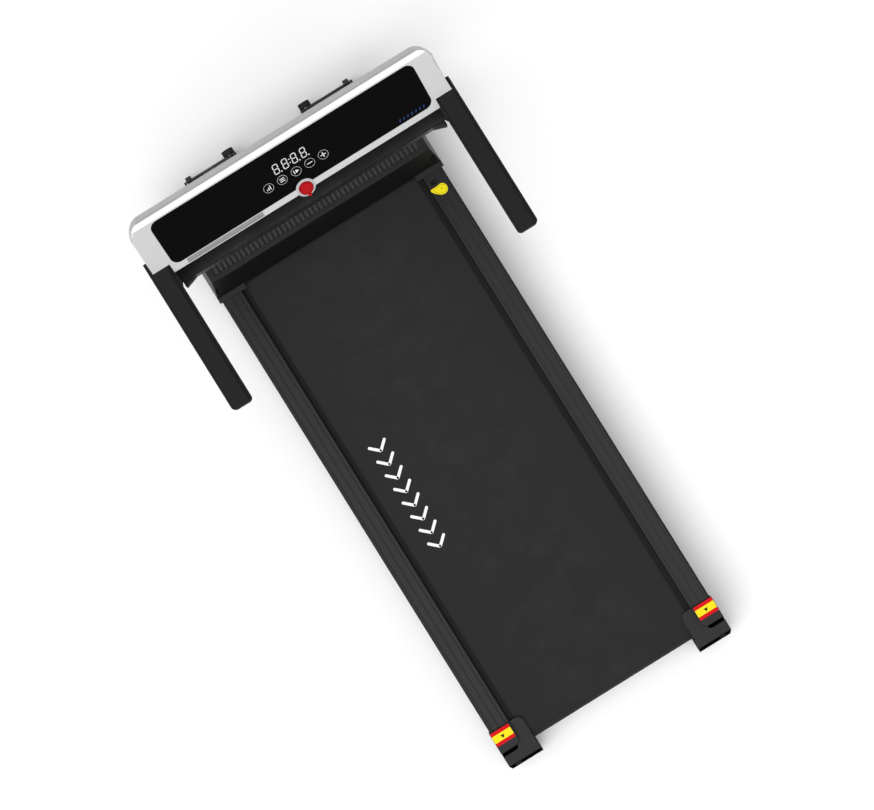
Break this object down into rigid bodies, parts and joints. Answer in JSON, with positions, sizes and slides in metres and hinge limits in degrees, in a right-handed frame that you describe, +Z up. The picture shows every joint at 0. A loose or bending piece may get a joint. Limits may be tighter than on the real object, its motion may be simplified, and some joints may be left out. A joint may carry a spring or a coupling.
{
  "type": "treadmill",
  "caption": "Fold-up treadmill: running deck with motor hood hinged to a base with leaning uprights, handlebars and a sloped display console.",
  "frame": {"origin": "on the floor under the centre of the overall box", "axes": "+X to the runner's right, +Y from the runner towards the console, +Z up"},
  "size_m": [0.65, 1.44, 1.0997],
  "materials": {
    "frame_steel": "satin powder coat",
    "bronze": "machined",
    "board_ply": "waxed laminate",
    "soft_rubber": "matte",
    "roller_steel": "ground",
    "bright_steel": "zinc plated",
    "belt_rubber": "fine diamond emboss",
    "motor_paint": "satin",
    "pulley_iron": "machined",
    "black_plastic": "moulded",
    "rail_plastic": "glossy top",
    "hood_plastic": "satin moulded",
    "red_plastic": "glossy",
    "cap_plastic": "satin moulded",
    "sheet_zinc": "satin",
    "wheel_plastic": "moulded",
    "strut_paint": "gloss",
    "bar_plastic": "fine grain",
    "silver_plastic": "silver lacquer",
    "panel_gloss": "polished black lens",
    "circuit_green": "solder resist",
    "white_plastic": "moulded"
  },
  "bodies": {
    "base": {"front_cross_tube": "frame_steel", "floor_tubes": "frame_steel", "rear_cross_tube": "frame_steel", "floor_pads": "soft_rubber", "upright_left": "frame_steel", "upright_right": "frame_steel", "pivot_bolts": "bright_steel", "front_brackets": "sheet_zinc", "wheel_axles": "bright_steel", "storage_feet": "soft_rubber", "storage_foot_studs": "bright_steel", "strut_lug": "frame_steel", "handlebar_left": "bar_plastic", "handlebar_right": "bar_plastic", "handlebar_plugs": "bar_plastic", "console_cross_tube": "frame_steel", "cross_tube_gussets": "frame_steel", "console_housing": "silver_plastic", "console_back": "black_plastic", "console_panel": "panel_gloss", "display_board": "circuit_green", "key_socket": "white_plastic"},
    "deck": {"deck_beam_left": "frame_steel", "deck_beam_right": "frame_steel", "deck_cross_members": "frame_steel", "pivot_bushes": "bronze", "running_board": "board_ply", "board_cushions": "soft_rubber", "roller_axles": "bright_steel", "running_belt": "belt_rubber", "drive_belt": "soft_rubber", "drive_motor": "motor_paint", "motor_bracket": "frame_steel", "controller_box": "black_plastic", "side_rail_left": "rail_plastic", "side_rail_right": "rail_plastic", "oil_port_plug": "black_plastic", "motor_hood": "hood_plastic", "hood_vent": "hood_plastic", "hood_screws": "bright_steel", "belly_pan": "black_plastic", "power_inlet": "black_plastic", "switch_housing": "black_plastic", "rear_cap_left": "cap_plastic", "rear_cap_right": "cap_plastic", "tension_bolts": "bright_steel", "rear_feet": "soft_rubber", "rear_foot_studs": "bright_steel", "strut_bracket": "frame_steel"},
    "front_roller": {"front_roller": "roller_steel"},
    "rear_roller": {"rear_roller": "roller_steel"},
    "motor_pulley": {"motor_pulley": "pulley_iron"},
    "transport_wheel_left": {"transport_wheel_left": "wheel_plastic"},
    "transport_wheel_right": {"transport_wheel_right": "wheel_plastic"},
    "strut_cylinder": {"strut_cylinder": "strut_paint"},
    "strut_rod": {"strut_rod": "bright_steel"},
    "safety_key": {"safety_key": "red_plastic"},
    "power_switch": {"power_switch": "red_plastic"},
    "reset_button": {"reset_button": "black_plastic"}
  },
  "joints": [
    {"name": "deck_fold", "type": "hinge", "parent": "base", "child": "deck", "pos_m": [0, 0.612, 0.15], "axis": [-1, 0, 0], "range_deg": [0, 75]},
    {"name": "front_roller_spin", "type": "hinge", "parent": "deck", "child": "front_roller", "pos_m": [0, 0.486, 0.116], "axis": [1, 0, 0], "continuous": true},
    {"name": "rear_roller_spin", "type": "hinge", "parent": "deck", "child": "rear_roller", "pos_m": [0, -0.654, 0.116], "axis": [1, 0, 0], "continuous": true},
    {"name": "motor_spin", "type": "hinge", "parent": "deck", "child": "motor_pulley", "pos_m": [-0.2, 0.59, 0.12], "axis": [1, 0, 0], "continuous": true},
    {"name": "wheel_left_spin", "type": "hinge", "parent": "base", "child": "transport_wheel_left", "pos_m": [-0.197, 0.69, 0.03], "axis": [1, 0, 0], "continuous": true},
    {"name": "wheel_right_spin", "type": "hinge", "parent": "base", "child": "transport_wheel_right", "pos_m": [0.197, 0.69, 0.03], "axis": [1, 0, 0], "continuous": true},
    {"name": "strut_swing", "type": "hinge", "parent": "base", "child": "strut_cylinder", "pos_m": [0, 0.576, 0.044], "axis": [-1, 0, 0], "range_deg": [0, 69.6]},
    {"name": "strut_slide", "type": "slide", "parent": "strut_cylinder", "child": "strut_rod", "axis": [0, -1, 0], "range_m": [0, 0.13135]},
    {"name": "key_pull", "type": "slide", "parent": "base", "child": "safety_key", "axis": [0, -0.6756, 0.7373], "range_m": [0, 0.03]},
    {"name": "switch_rock", "type": "hinge", "parent": "deck", "child": "power_switch", "pos_m": [-0.024, 0.679, 0.128], "axis": [1, 0, 0], "range_deg": [-7, 7]},
    {"name": "reset_press", "type": "slide", "parent": "deck", "child": "reset_button", "axis": [0, -1, 0], "range_m": [0, 0.003], "stiffness_N_per_m": 300, "springref_m": -0.001}
  ],
  "couplings": [
    {"joint": "rear_roller_spin", "follows": "front_roller_spin", "ratio": 1},
    {"joint": "motor_spin", "follows": "front_roller_spin", "ratio": 2.0119},
    {"joint": "strut_swing", "follows": "deck_fold", "ratio": 0.92734},
    {"joint": "strut_slide", "follows": "deck_fold", "m_per_rad": 0.1002}
  ]
}
